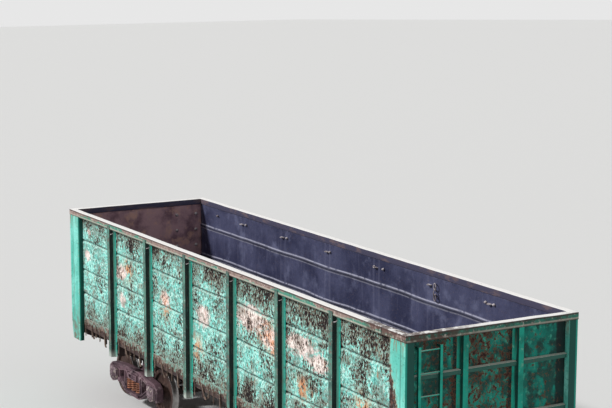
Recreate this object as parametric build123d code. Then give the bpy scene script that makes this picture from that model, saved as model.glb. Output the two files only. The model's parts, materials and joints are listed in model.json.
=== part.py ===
from build123d import *
from math import cos, radians, sin
import os

# Open-top rail wagon with fourteen drop doors in its floor, on two cast-steel bogies.
# Millimetres. X runs along the track, Y across it, Z up.
# The pieces are drawn with Z measured from the rail head, then lifted so that the wheel
# flanges, the lowest points, stand on Z = 0.

# Running gear
flange_height = 28.0
tread_radius = 475.0
flange_radius = tread_radius + flange_height
wheelbase = 1850.0
pivot_x = 4325.0
wheel_inner_y = 720.0
wheel_width = 130.0
journal_y = 1018.0
seat_radius = 97.0
journal_radius = 65.0
axle_end_y = 1116.0
side_frame_half = 70.0
recess_depth = 24.0
frame_recesses = (
    ((20, 706), (230, 706), (270, 675), (340, 700), (430, 680), (650, 630), (745, 648), (1070, 648),
     (1020, 676), (560, 726), (300, 744), (20, 744)),
    ((20, 224), (300, 224), (420, 268), (650, 412), (650, 452), (430, 318), (352, 280), (20, 266)),
    ((354, 320), (404, 345), (404, 665), (354, 640)),
    ((680, 430), (742, 430), (742, 600), (680, 600)),
    ((1108, 370), (1142, 370), (1142, 600), (1108, 600)))
spring_seat_z = 290.0
spring_top_z = 545.0
spring_radius = 95.0
spring_coils = 5
bolster_half_x = 215.0
bowl_rim_z = 830.0
bowl_floor_z = 803.0

# Body heights
floor_plate_z = 1414.0
plate = 10.0
rim_top_z = 3800.0
chord_height = 115.0
chord_bottom_z = rim_top_z - chord_height
lower_chord_bottom_z = 1404.0
lower_chord_top_z = 1564.0
post_foot_z = 1095.0
corner_foot_z = 1060.0

# Body plan
bay_pitch = 1730.0
chord_outer_y = 1557.0
chord_inner_y = 1425.0
chord_outer_x = 6400.0
chord_inner_x = 6268.0
sheet_inner_y = 1439.0
sheet_outer_y = 1446.0
shelf_inner_y = 1352.0
cap_start_y = 200.0
post_outer_y = 1567.0
end_sheet_inner_x = 6290.0
end_sheet_outer_x = 6297.0
end_post_outer_x = 6390.0
end_post_y = 500.0
corner_post_start_x = 5960.0
corner_post_outer_y = 1472.0
corner_post_end_y = 1390.0
end_beam_x = 6350.0
post_steps = (-2.5, -1.5, -0.5, 0.5, 1.5, 2.5)
hatch_bays = (-3, -2, -1, 0, 1, 2, 3)

# Pressed grooves along each side sheet, and belts across each end wall
groove_heights = (2075.0, 2575.0, 3200.0)
groove_half = 34.0
groove_flat = 8.0
groove_depth = 22.0
belt_heights = (2340.0, 3135.0)
belt_half = 46.0
belt_face_half = 30.0
belt_depth = 50.0

# Centre sill
sill_inner_y = 163.5
sill_web = 12.0
sill_outer_y = sill_inner_y + sill_web
sill_bottom_z = 905.0
sill_top_z = 1215.0
sill_flange_y = 240.0
sill_flange = 16.0
ridge_half_y = 110.0

# Floor doors
hatch_length = 1540.0
hatch_hinge_y = 175.0
hatch_hinge_z = 1375.0
hatch_inner_y = 116.0
hatch_outer_y = 1440.0
hatch_sheet = 6.0
hatch_top_z = floor_plate_z - 5.0
hatch_under_z = hatch_top_z - hatch_sheet
hatch_groove_depth = 12.0
hatch_grooves = (-610.0, -205.0, 205.0, 610.0)
groove_start_y = 240.0
groove_end_y = 1320.0
hinge_offsets = (-500.0, 500.0)
hinge_pin_radius = 12.0
latch_offsets = (-360.0, 350.0)

# Lashing eyes, measured inward from the side sheet
lug_z = 3530.0
lug_reach = 66.0
lug_hole_y = 40.0
lug_hole_radius = 16.0
lug_thickness = 14.0

# Ladder on each end wall
ladder_y = (-1306.0, -931.0)
rung_top_z = 3540.0
rung_pitch = 340.0
rung_count = 6

# Couplers and the draft gear behind them
coupler_z = 1060.0
shank_half_y = 65.0
shank_half_z = 85.0
gear_rear_x = 5480.0
gear_front_x = 6000.0
yoke_head_x = 6110.0
yoke_half_z = 125.0
yoke_half_y = 78.0
yoke_strap = 25.0


def block(xs, ys, zs):
    """Rectangular block between two corners, given as three ranges."""
    (x0, x1), (y0, y1), (z0, z1) = xs, ys, zs
    centre = Pos((x0 + x1) / 2, (y0 + y1) / 2, (z0 + z1) / 2)
    return centre * Box(abs(x1 - x0), abs(y1 - y0), abs(z1 - z0))


def outline(points):
    """Closed flat outline from its corner points."""
    return make_face(Polyline(*points, close=True))


def mirrored_outline(half):
    """Closed outline from the points of its right half, mirrored to the left."""
    left = [(-x, y) for x, y in reversed(half) if x != 0]
    return outline(list(half) + left)


def along_x(face, start, end):
    """Push a face drawn in (y, z) from one X to another."""
    plane = Plane(origin=(start, 0, 0), x_dir=(0, 1, 0), z_dir=(1, 0, 0))
    return extrude(plane * face, amount=end - start)


def along_y(face, start, end):
    """Push a face drawn in (x, z) from one Y to another."""
    plane = Plane(origin=(0, end, 0), x_dir=(1, 0, 0), z_dir=(0, -1, 0))
    return extrude(plane * face, amount=end - start)


def along_z(face, start, end):
    """Push a face drawn in (x, y) from one Z to another."""
    return extrude(Plane.XY.offset(start) * face, amount=end - start)


def rod(start, end, radius):
    """Round bar between two points."""
    a, b = Vector(*start), Vector(*end)
    return extrude(Plane(origin=a, z_dir=b - a) * Circle(radius), amount=(b - a).length)


def bar(start, end, radius):
    """Thin bar between two points, eight-sided so that it has few faces."""
    a, b = Vector(*start), Vector(*end)
    return extrude(Plane(origin=a, z_dir=b - a) * RegularPolygon(radius, 8), amount=(b - a).length)


def turned(points):
    """Solid of revolution about the Y axis from (y, radius) points."""
    face = outline([(radius, y) for y, radius in points])
    return revolve(face, axis=Axis.Y)


def joined(shapes):
    """One shape from pieces that run into each other."""
    whole = shapes[0]
    for shape in shapes[1:]:
        whole = whole + shape
    return whole


def both_sides(shape):
    """The piece and its mirror image across the wagon."""
    return [shape, mirror(shape, about=Plane.XZ)]


def both_ends(shape):
    """The piece and its copy at the other end, turned by half a turn."""
    return [shape, Rot(0, 0, 180) * shape]


def four_corners(shape):
    """The piece mirrored across both middle planes."""
    return both_sides(shape) + [mirror(side, about=Plane.YZ) for side in both_sides(shape)]


# Underframe

def centre_sill():
    """Two Z-bars with their top flanges together, and the ridge beam on top of them."""
    length = end_beam_x - 12.0
    z_bar = outline([
        (0, sill_top_z), (sill_outer_y, sill_top_z), (sill_outer_y, sill_bottom_z + sill_flange),
        (sill_flange_y, sill_bottom_z + sill_flange), (sill_flange_y, sill_bottom_z),
        (sill_inner_y, sill_bottom_z), (sill_inner_y, sill_top_z - sill_flange),
        (0, sill_top_z - sill_flange)])
    ridge = mirrored_outline([
        (0, sill_top_z), (100, sill_top_z), (100, sill_top_z + 11), (5, sill_top_z + 11),
        (5, floor_plate_z - plate), (ridge_half_y, floor_plate_z - plate),
        (ridge_half_y, floor_plate_z), (0, floor_plate_z)])
    bars = both_sides(along_x(z_bar, -length, length))
    return [joined(bars + [along_x(ridge, -length, length)])]


def cross_member(x, half_width, sill_side_z, wall_side_z, shoulder_y):
    """Tapered box from the sill to the side wall, under its cap plate."""
    face = outline([
        (sill_outer_y, sill_side_z), (shoulder_y, sill_side_z), (sheet_outer_y + plate, wall_side_z),
        (sheet_outer_y + plate, lower_chord_bottom_z), (sheet_outer_y, lower_chord_bottom_z),
        (sheet_outer_y, floor_plate_z), (ridge_half_y, floor_plate_z),
        (ridge_half_y, floor_plate_z - 60), (sill_outer_y, sill_top_z)])
    box = along_x(face, x - half_width, x + half_width)
    cap_z = (floor_plate_z, floor_plate_z + plate)
    cap = block((x - half_width - 40, x + half_width + 40), (cap_start_y, shelf_inner_y), cap_z)
    neck = block((x - half_width, x + half_width), (ridge_half_y, cap_start_y), cap_z)
    return box + cap + neck


def body_bolsters():
    """Box beams over the bogies, one each side of the sill, with side bearers and jacking pads."""
    halves = []
    for x in (-pivot_x, pivot_x):
        beam = cross_member(x, 88.0, sill_bottom_z + sill_flange, 1215.0, 860.0)
        bearer = block((x - 85, x + 85), (702, 822), (sill_bottom_z - 62, sill_bottom_z + sill_flange))
        pad = block((x - 80, x + 80), (1230, 1400), (1090, 1200))
        halves += both_sides(beam + bearer + pad)
    return halves


def cross_beams():
    """Four lighter box beams between the bolsters."""
    halves = []
    for step in post_steps[1:-1]:
        halves += both_sides(cross_member(step * bay_pitch, 75.0, 1010.0, 1255.0, 420.0))
    return halves


def uncoupling_lever():
    """Bent rod on two brackets across the headstock, with its handle at the corner."""
    x, z, near_y, far_y = end_beam_x + 45.0, 1180.0, -1210.0, -215.0
    lever = [bar((x, near_y, z), (x, far_y, z), 11), bar((x, near_y + 8, z + 6), (x, near_y + 8, z - 230), 11)]
    for y in (near_y + 120, far_y - 40):
        lever.append(block((end_beam_x, x + 16), (y - 12, y + 12), (z - 16, z + 16)))
    return lever


def end_beams():
    """Headstock with its floor plate, stiffening web and uncoupling lever."""
    half_y = corner_post_end_y - 2
    web = along_x(mirrored_outline([
        (0, sill_top_z + 15), (sill_outer_y + 70, sill_top_z + 15), (sill_outer_y + 70, 930),
        (520, 930), (half_y, 1150), (half_y, floor_plate_z), (0, floor_plate_z)]),
        end_beam_x - 12, end_beam_x)
    floor_z = (floor_plate_z, floor_plate_z + plate)
    floor = block((5985, end_sheet_inner_x), (ridge_half_y, shelf_inner_y), floor_z)
    shelf = block((end_sheet_inner_x, end_beam_x), (-half_y, half_y), floor_z)
    inner_web = along_x(outline([
        (sill_outer_y, 1010), (1000, 1010), (half_y, 1180), (half_y, floor_plate_z),
        (ridge_half_y, floor_plate_z), (ridge_half_y, floor_plate_z - 60), (sill_outer_y, sill_top_z)]),
        5995, 6005)
    brace = block((6005, end_beam_x - 12), (880, 892), (1080, floor_plate_z))
    beam = joined([web, shelf] + both_sides(floor) + both_sides(inner_web) + both_sides(brace))
    return both_ends(joined([beam] + uncoupling_lever()))


def hinge_brackets():
    """Brackets on the ridge beam, each with the pin that a floor door hangs on."""
    brackets = []
    for bay in hatch_bays:
        for offset in hinge_offsets:
            x = bay * bay_pitch + offset
            lug = along_x(outline([
                (5, 1290), (5, floor_plate_z - plate), (ridge_half_y, floor_plate_z - plate),
                (ridge_half_y, 1396), (hatch_hinge_y + 10, 1396), (hatch_hinge_y + 21, 1385),
                (hatch_hinge_y + 21, 1365), (hatch_hinge_y + 10, 1353), (ridge_half_y, 1340)]),
                x - 12, x + 12)
            pin = bar((x - 12, hatch_hinge_y, hatch_hinge_z), (x + 60, hatch_hinge_y, hatch_hinge_z),
                      hinge_pin_radius)
            brackets += both_sides(lug + pin)
    return brackets


def hatch_sheet_piece(x):
    """A door's sheet with four grooves pressed down into it, closed at their ends."""
    half = hatch_length / 2
    sheet = block((x - half, x + half), (hatch_inner_y, hatch_outer_y), (hatch_under_z, hatch_top_z))
    for groove in hatch_grooves:
        for start, z in ((groove_start_y, hatch_under_z), (groove_start_y + hatch_sheet, hatch_top_z)):
            trough = outline([(x + groove - 45, z), (x + groove - 30, z - hatch_groove_depth),
                              (x + groove + 30, z - hatch_groove_depth), (x + groove + 45, z)])
            trough = along_y(trough, start, groove_start_y + groove_end_y - start)
            sheet = sheet + trough if z == hatch_under_z else sheet - trough
    return sheet


def hatch(bay, side):
    """Drop door: pressed sheet, deep outer edge beam, end ribs, hinge eyes and latch lugs."""
    x = bay * bay_pitch
    half = hatch_length / 2
    under = hatch_under_z
    edge_y = hatch_outer_y - 50
    pieces = [hatch_sheet_piece(x)]
    pieces.append(block((x - half, x + half), (edge_y, hatch_outer_y), (under - 73, under + 2)))
    rib_face = outline([(235, under + 2), (edge_y, under + 2), (edge_y, under - 66), (1100, under - 48),
                        (235, under - 28)])
    for end in (-1, 1):
        rib_x = x + end * (half - 5)
        pieces.append(along_x(rib_face, rib_x - 5, rib_x + 5))
    eye = outline([
        (hatch_hinge_y - 20, under + 2), (hatch_hinge_y - 20, 1362), (hatch_hinge_y - 8, 1353),
        (hatch_hinge_y + 8, 1353), (hatch_hinge_y + 24, 1366), (hatch_hinge_y + 120, under + 2)])
    eye -= Pos(hatch_hinge_y, hatch_hinge_z) * RegularPolygon(hinge_pin_radius + 2, 8)
    for offset in hinge_offsets:
        pieces.append(along_x(eye, x + offset + 18, x + offset + 48))
    lug = outline([(edge_y + 8, under - 73), (edge_y + 8, 1215), (edge_y + 25, 1200),
                   (hatch_outer_y, 1200), (hatch_outer_y, under - 73)])
    for offset in latch_offsets:
        pieces.append(along_x(lug, x + offset - 60, x + offset - 35))
    door = joined(pieces)
    return [door] if side > 0 else [mirror(door, about=Plane.XZ)]


# Side and end walls

def side_wall(side):
    """Pressed side sheet with three grooves that run its whole length."""
    outer, inner = [], []
    for z in groove_heights:
        for offset, depth in ((-groove_half, 0.0), (-groove_flat, groove_depth),
                              (groove_flat, groove_depth), (groove_half, 0.0)):
            outer.append((sheet_outer_y - depth, z + offset))
            inner.append((sheet_inner_y - depth, z + offset))
    bottom, top = floor_plate_z + plate, chord_bottom_z
    face = outline([(sheet_outer_y, bottom)] + outer + [(sheet_outer_y, top), (sheet_inner_y, top)]
                   + inner[::-1] + [(sheet_inner_y, bottom)])
    wall = along_x(face, -end_sheet_inner_x, end_sheet_inner_x)
    return [wall] if side > 0 else [mirror(wall, about=Plane.XZ)]


def hat_section(face_half, knee_half, foot_half, flange, depth):
    """Plan of a hat-shaped bar: x across it, y out from its sheet, with a knee in each flank."""
    wall = 8.0
    knee = 0.35 * depth
    return mirrored_outline([
        (0, depth), (face_half, depth), (knee_half, knee), (foot_half, wall),
        (foot_half + flange, wall), (foot_half + flange, 0), (foot_half - wall, 0),
        (knee_half - wall, knee - 3), (face_half - wall, depth - wall), (0, depth - wall)])


def side_posts():
    """Twelve hat-section posts at the cross members, their feet below the lower chord."""
    upper_depth = post_outer_y - sheet_outer_y
    lower_depth = upper_depth - plate
    back_y = sheet_outer_y + plate
    posts = []
    for step in post_steps:
        x = step * bay_pitch
        upper = along_z(Pos(x, sheet_outer_y) * hat_section(55, 60, 86, 20, upper_depth),
                        lower_chord_top_z, chord_bottom_z)
        lower = along_z(Pos(x, back_y) * hat_section(55, 60, 86, 20, lower_depth),
                        post_foot_z, lower_chord_top_z)
        tongue = block((x - 55, x + 55), (chord_outer_y, post_outer_y),
                       (chord_bottom_z, chord_bottom_z + 65))
        toe = along_z(outline([(x - 86, back_y), (x - 55, post_outer_y), (x + 55, post_outer_y),
                               (x + 86, back_y)]), post_foot_z, post_foot_z + plate)
        posts += both_sides(joined([upper, lower, tongue, toe]))
    return posts


def corner_posts():
    """Bent plates that join the side and end walls, with a raised edge band and a slanted foot."""
    band_x = end_post_outer_x - 72
    plan = outline([
        (corner_post_start_x, sheet_outer_y), (corner_post_start_x + 6, corner_post_outer_y - 8),
        (band_x - 6, corner_post_outer_y - 8), (band_x, corner_post_outer_y),
        (end_post_outer_x, corner_post_outer_y), (end_post_outer_x, corner_post_end_y + 8),
        (end_sheet_outer_x, corner_post_end_y), (end_sheet_outer_x, sheet_outer_y)])
    upper = along_z(plan, lower_chord_bottom_z, chord_bottom_z)
    foot = along_y(outline([
        (corner_post_start_x + 6, lower_chord_bottom_z), (end_post_outer_x, lower_chord_bottom_z),
        (end_post_outer_x, 1310), (end_post_outer_x - 62, corner_foot_z),
        (corner_post_start_x + 6, corner_foot_z)]), sheet_outer_y + plate, corner_post_outer_y - 8)
    return four_corners(upper + foot)


def side_top_chords():
    """Box-section rails along the top of the side walls."""
    face = outline([(chord_inner_y, chord_bottom_z), (chord_outer_y, chord_bottom_z),
                    (chord_outer_y, rim_top_z), (chord_inner_y, rim_top_z)])
    return both_sides(along_x(fillet(face.vertices(), 10), -chord_outer_x, chord_outer_x))


def end_top_chords():
    """Box-section rails along the top of the end walls."""
    face = outline([(chord_inner_x, chord_bottom_z), (chord_outer_x, chord_bottom_z),
                    (chord_outer_x, rim_top_z), (chord_inner_x, rim_top_z)])
    return both_ends(along_y(fillet(face.vertices(), 10), -chord_inner_y, chord_inner_y))


def lower_chords():
    """Angles that carry the side sheets at floor level."""
    x = corner_post_start_x
    leg = block((-x, x), (sheet_outer_y, sheet_outer_y + plate), (lower_chord_bottom_z, lower_chord_top_z))
    x = end_sheet_inner_x
    shelf = block((-x, x), (shelf_inner_y, sheet_outer_y), (floor_plate_z, floor_plate_z + plate))
    return both_sides(leg + shelf)


def end_walls():
    """Flat end sheets between the side sheets."""
    sheet = block((end_sheet_inner_x, end_sheet_outer_x), (-sheet_outer_y, sheet_outer_y),
                  (floor_plate_z + plate, chord_bottom_z))
    return both_ends(sheet)


def end_wall_frames():
    """Two posts and two belts on the outside of each end wall."""
    section = hat_section(46, 62, 84, 22, end_post_outer_x - end_sheet_outer_x)
    post = along_z(section, floor_plate_z + plate, chord_bottom_z)
    pieces = [Pos(end_sheet_outer_x, y, 0) * Rot(0, 0, -90) * post for y in (-end_post_y, end_post_y)]
    for z in belt_heights:
        face_x = end_sheet_outer_x + belt_depth
        face = outline([(end_sheet_outer_x, z - belt_half), (face_x, z - belt_face_half),
                        (face_x, z + belt_face_half), (end_sheet_outer_x, z + belt_half)])
        pieces.append(along_y(face, -corner_post_end_y, corner_post_end_y))
    return both_ends(joined(pieces))


def end_ladders():
    """Narrow ladder on each end wall, near its left corner."""
    x = end_post_outer_x + 6
    bottom, top = 1440.0, rung_top_z + 60
    pieces = []
    for y in ladder_y:
        pieces.append(block((x - 45, x), (y - 22, y - 16), (bottom, top)))
        pieces.append(block((x - 6, x), (y - 22, y + 22), (bottom, top)))
        for z in (bottom + 20, top - 20):
            pieces.append(block((end_sheet_outer_x, x - 45), (y - 22, y - 16), (z - 20, z + 20)))
    for step in range(rung_count):
        z = rung_top_z - step * rung_pitch
        pieces.append(bar((x - 22, ladder_y[0] - 18, z), (x - 22, ladder_y[1] - 18, z), 11))
    return both_ends(joined(pieces))


def corner_steps():
    """Shunter's step under two opposite corners."""
    wall = sheet_outer_y + plate
    pieces = []
    for x in (6020.0, 6180.0):
        pieces.append(block((x - 20, x + 20), (wall - 20, wall), (545, 1200)))
        pieces.append(bar((x, wall - 10, 1180), (x, 1250, 1400), 12))
    pieces.append(block((5990, 6210), (wall - 260, wall + 10), (520, 545)))
    return both_ends(mirror(joined(pieces), about=Plane.XZ))


def latch_hook(x, lean):
    """Flat hook that hangs from a pivot on the lower chord, turned by its lean in degrees."""
    hook = outline([
        (-15, 18), (15, 18), (15, -150), (24, -205), (52, -232), (60, -262), (46, -272), (8, -262),
        (-14, -225), (-20, -150)])
    placed = Pos(x, lower_chord_bottom_z + 26) * Rot(0, 0, lean) * hook
    return along_y(placed, sheet_outer_y + plate, sheet_outer_y + plate + 20)


def hatch_latches():
    """Two hooks for every floor door: one hangs aslant, one upright."""
    hooks = []
    for bay in hatch_bays:
        for offset, lean in zip(latch_offsets, (28.0, 4.0)):
            hooks += both_sides(latch_hook(bay * bay_pitch + offset, lean))
    return hooks


def lashing_lugs():
    """Flat eyes for lashings, inside the side walls at every post."""
    face = mirrored_outline([(0, 0), (60, 0), (34, lug_reach - 12), (20, lug_reach), (0, lug_reach)])
    face -= Pos(0, lug_hole_y) * Circle(lug_hole_radius)
    half = lug_thickness / 2
    lug = mirror(along_z(face, lug_z - half, lug_z + half), about=Plane.XZ)
    lugs = []
    for step in post_steps:
        lugs += both_sides(Pos(step * bay_pitch, sheet_inner_y, 0) * lug)
    return lugs


# Draw gear

def centre_plates():
    """Round plates under the bolsters that sit in the bogie bowls."""
    disc = along_z(Pos(pivot_x, 0) * Circle(150), bowl_floor_z + 0.5, sill_bottom_z)
    base = along_z(Pos(pivot_x, 0) * Rectangle(420, 2 * sill_flange_y), sill_bottom_z - 25, sill_bottom_z)
    return both_ends(disc + base)


def striker_plates():
    """Castings on the headstocks, each with the hung beam that its coupler rests on."""
    face = outline([(-200, 900), (200, 900), (200, 1195), (120, 1230), (-120, 1230), (-200, 1195)])
    face -= Pos(0, coupler_z) * Rectangle(250, 220)
    front_x = end_beam_x + 40
    hanger_x = front_x + 22
    beam_top_z = coupler_z - shank_half_z
    pieces = [along_x(face, end_beam_x, front_x)]
    pieces.append(along_x(mirrored_outline([
        (175, beam_top_z), (175, beam_top_z - 26), (120, beam_top_z - 52)]), front_x + 4, front_x + 40))
    for y in (-150, 150):
        pieces.append(bar((hanger_x, y, beam_top_z - 10), (hanger_x, y, 1180), 11))
        pieces.append(block((front_x, front_x + 40), (y - 20, y + 20), (1166, 1190)))
    return both_ends(joined(pieces))


def couplers():
    """Automatic couplers: shank, flared neck, guard claw, small claw and the lock between them."""
    shank = block((yoke_head_x, 6700), (-shank_half_y, shank_half_y),
                  (coupler_z - shank_half_z, coupler_z + shank_half_z))
    neck_start = Plane(origin=(6500, 0, coupler_z), x_dir=(0, 1, 0), z_dir=(1, 0, 0))
    neck_end = Plane(origin=(6650, 0, coupler_z), x_dir=(0, 1, 0), z_dir=(1, 0, 0))
    neck = loft([neck_start * Rectangle(2 * shank_half_y, 2 * shank_half_z),
                 neck_end * Rectangle(300, 290)])
    claw = outline([
        (6600, -90), (6680, -190), (6780, -215), (6960, -215), (7045, -180), (7050, -120), (6960, -95),
        (6900, -40), (6850, 40), (6700, 80), (6640, 60)])
    small = outline([
        (6640, 20), (6860, 20), (6860, 110), (6960, 95), (7010, 130), (7000, 200), (6900, 235),
        (6740, 210), (6640, 120)])
    lock = outline([(6860, -60), (6950, -40), (6950, 20), (6860, 60)])
    pieces = [
        shank, neck,
        along_z(fillet(claw.vertices(), 14), coupler_z - 150, coupler_z + 150),
        along_z(fillet(small.vertices(), 14), coupler_z - 125, coupler_z + 125),
        along_z(lock, coupler_z - 95, coupler_z + 95),
        rod((6800, 60, coupler_z), (6800, 60, coupler_z + 190), 24)]
    return both_ends(joined(pieces + draft_gear()))


def draft_gear():
    """Friction gear in its yoke between the sill's webs, borne by a plate under the sill."""
    z = coupler_z
    yoke_y = (-yoke_half_y, yoke_half_y)
    pieces = [block((yoke_head_x, yoke_head_x + 150), yoke_y, (z - yoke_half_z, z + yoke_half_z)),
              block((gear_rear_x - yoke_strap, gear_rear_x), yoke_y, (z - yoke_half_z, z + yoke_half_z)),
              block((gear_front_x, gear_front_x + 50), (-135, 135), (z - 98, z + 98)),
              rod((gear_rear_x, 0, z), (gear_front_x, 0, z), yoke_half_z - yoke_strap)]
    for strap_z in (z - yoke_half_z, z + yoke_half_z - yoke_strap):
        pieces.append(block((gear_rear_x, yoke_head_x), yoke_y, (strap_z, strap_z + yoke_strap)))
    bearer_x = (5640, 5800)
    pieces.append(block(bearer_x, (-sill_flange_y, sill_flange_y), (sill_bottom_z - 14, sill_bottom_z)))
    pieces.append(block(bearer_x, (-60, 60), (sill_bottom_z, z - yoke_half_z)))
    return pieces


# Brake gear under the body

def brake_cylinder():
    """Brake cylinder under the sill, with its push rod."""
    z = sill_bottom_z - 195
    return [joined([
        rod((-520, 0, z), (-60, 0, z), 178), rod((-60, 0, z), (0, 0, z), 205),
        rod((0, 0, z), (165, 0, z), 45),
        block((-420, -160), (-120, 120), (z + 120, sill_bottom_z))])]


def air_reservoir():
    """Air tank hung beside the sill."""
    y, z = 400.0, sill_bottom_z - 185
    pieces = [turned([(1040, 0), (1040, 60), (1065, 118), (1110, 150), (2070, 150), (2115, 118),
                      (2140, 60), (2140, 0)])]
    pieces[0] = Pos(0, y, z) * Rot(0, 0, -90) * pieces[0]
    for x in (1290, 1890):
        pieces.append(block((x - 30, x + 30), (150, y + 100), (z + 100, sill_bottom_z)))
    return [joined(pieces)]


def distributor_valve():
    """Two-chamber brake valve on a bracket beside the sill."""
    x, y, z = -1150.0, 400.0, sill_bottom_z - 150
    pieces = [block((x - 80, x + 80), (y - 110, y + 110), (z - 100, z + 110)),
              block((x - 60, x + 60), (150, y + 110), (z + 110, sill_bottom_z))]
    for side in (-1, 1):
        pieces.append(rod((x + side * 80, y, z), (x + side * 220, y, z), 85))
    return [joined(pieces)]


def brake_pipe():
    """Train pipe beside the sill, with a cock at each end."""
    y, z = -275.0, 886.0
    pieces = [rod((-6410, y, z), (6410, y, z), 21)]
    for end in (-1, 1):
        pieces.append(block((end * 6400, end * 6480), (y - 38, y + 38), (z - 38, z + 38)))
        pieces.append(bar((end * 6440, y, z + 30), (end * 6440, y, z + 85), 14))
    return [joined(pieces)]


def brake_rods():
    """Cross levers at the brake cylinder and long pull rods to the bogies."""
    z = sill_bottom_z - 195
    pieces = []
    for sign, lever_x in ((-1, -552.0), (1, 180.0)):
        lever = block((lever_x - 15, lever_x + 15), (-330, 110), (z - 30, z + 30))
        pull = bar((lever_x, 60, z), (sign * 3990, 60, 640), 16)
        eye = block((sign * 3960, sign * 4020), (35, 85), (610, 670))
        pieces.append(joined([lever, pull, eye]))
    return pieces


# Bogies

def side_frames(x0):
    """Cast side frames: spring window, two slanted windows, two axle-box jaws, hollowed faces."""
    body = mirrored_outline([
        (300, 770), (560, 752), (1040, 700), (1165, 610), (1165, 345), (1085, 335), (1085, 625),
        (765, 625), (765, 335), (690, 345), (690, 410), (430, 245), (300, 200)])
    rounded = [corner for corner in body.vertices() if corner.Y > 650 or abs(corner.X) < 500]
    body = fillet(rounded + [corner for corner in body.vertices() if corner.Y == 610], 45)
    for side in (-1, 1):
        window = outline([(side * 430, 345), (side * 655, 485), (side * 655, 605), (side * 430, 655)])
        body -= fillet(window.vertices(), 28)
    spring_window = outline([(-330, 290), (330, 290), (330, 600), (245, 685), (-245, 685), (-330, 600)])
    body -= fillet(spring_window.vertices(), 18)
    frame = along_y(body, journal_y - side_frame_half, journal_y + side_frame_half)
    for points in frame_recesses:
        for side in (-1, 1):
            recess = outline([(side * x, z) for x, z in points])
            for start in (journal_y + side_frame_half - recess_depth, journal_y - side_frame_half):
                frame -= along_y(recess, start, start + recess_depth)
    shelf = block((-330, 330), (journal_y - 112, journal_y + 112), (spring_seat_z - 25, spring_seat_z))
    return both_sides(Pos(x0, 0, 0) * (frame + shelf))


def bogie_bolster(x0):
    """Cast beam across the bogie, with the bowl for the centre plate and two side bearers."""
    half = journal_y + 95
    face = mirrored_outline([
        (0, 440), (420, 440), (820, spring_top_z), (half, spring_top_z), (half, 668), (760, 700),
        (420, 760), (0, 760)])
    beam = along_x(face, x0 - bolster_half_x, x0 + bolster_half_x)
    bowl = along_z(Pos(x0, 0) * Circle(185), 760, bowl_rim_z)
    bowl -= along_z(Pos(x0, 0) * Circle(156), bowl_floor_z, bowl_rim_z)
    pieces = [beam, bowl]
    for y in (-762, 762):
        pieces.append(block((x0 - 110, x0 + 110), (y - 60, y + 60), (690, 835)))
    pocket = block((x0 - 150, x0 + 150), (-half, -half + 40), (575, 640))
    return [joined(pieces) - pocket - mirror(pocket, about=Plane.XZ)]


def coil_spring():
    """Outer spring of a group as a ribbed column: one rib for each coil."""
    pitch = (spring_top_z - spring_seat_z) / spring_coils
    spring = along_z(RegularPolygon(spring_radius - 22, 10), spring_seat_z, spring_top_z)
    for coil in range(spring_coils):
        z = spring_seat_z + coil * pitch
        spring += along_z(RegularPolygon(spring_radius, 10), z + 0.12 * pitch, z + 0.74 * pitch)
    return spring


def spring_nests(x0):
    """Spring groups under the bolster; the outer springs also bear its friction wedges."""
    spring = coil_spring()
    wedge = along_y(outline([
        (bolster_half_x + 1, spring_top_z), (318, spring_top_z), (318, 596), (292, 624),
        (bolster_half_x + 1, 650)]), journal_y - 62, journal_y + 62)
    springs = both_sides(Pos(x0, journal_y, 0) * spring)
    for side in (-1, 1):
        wedge_there = wedge if side > 0 else mirror(wedge, about=Plane.YZ)
        outer = Pos(side * 215, journal_y, 0) * spring + wedge_there
        springs += both_sides(Pos(x0, 0, 0) * outer)
    return springs


def axle_boxes(x0):
    """Bearing boxes on the axle ends, round below and square under the frame, with end covers."""
    boxes = []
    inner_y, outer_y = journal_y - 100, journal_y + 115
    for offset in (-wheelbase / 2, wheelbase / 2):
        x, z = x0 + offset, tread_radius
        crown = mirrored_outline([(0, -5), (153, -5), (153, 125), (128, 149), (0, 149)])
        face = Pos(x, z) * Circle(148) + Pos(x, z) * crown
        shell = along_y(face, inner_y, outer_y)
        shell -= bar((x, inner_y - 1, z), (x, journal_y + 103, z), journal_radius + 11)
        cover = rod((x, outer_y, z), (x, outer_y + 14, z), 118)
        boss = rod((x, outer_y + 14, z), (x, outer_y + 26, z), 62)
        boxes += both_sides(joined([shell, cover, boss]))
    return boxes


def brake_shoe(x, side, toward):
    """Curved block facing one wheel's tread, on the side of the bogie's middle."""
    def at(radius, angle):
        return (x + toward * radius * cos(radians(angle)), tread_radius + radius * sin(radians(angle)))
    inner, outer, half_angle = tread_radius + 10, tread_radius + 80, 19
    edges = [
        ThreePointArc(at(inner, -half_angle), at(inner, 0), at(inner, half_angle)),
        Line(at(inner, half_angle), at(outer, half_angle)),
        ThreePointArc(at(outer, half_angle), at(outer, 0), at(outer, -half_angle)),
        Line(at(outer, -half_angle), at(inner, -half_angle))]
    return along_y(make_face(edges), side * 795 - 35, side * 795 + 35)


def brake_beams(x0):
    """Trussed beams that press the shoes on the inner side of the wheels."""
    beams = []
    for side in (-1, 1):
        beam_x = x0 + side * (wheelbase / 2 - tread_radius - 84)
        strut_x = x0 + side * 242
        pieces = [block((beam_x - 22, beam_x + 22), (-830, 830), (435, 479))]
        for flank in (-1, 1):
            pieces.append(bar((beam_x, flank * 780, 457), (strut_x, flank * 10, 400), 16))
            pieces.append(brake_shoe(x0 + side * wheelbase / 2, flank, -side))
        strut = (min(strut_x, beam_x) - 14, max(strut_x, beam_x) + 14)
        pieces.append(block(strut, (-30, 30), (380, 470)))
        beams.append(joined(pieces))
    return beams


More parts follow.
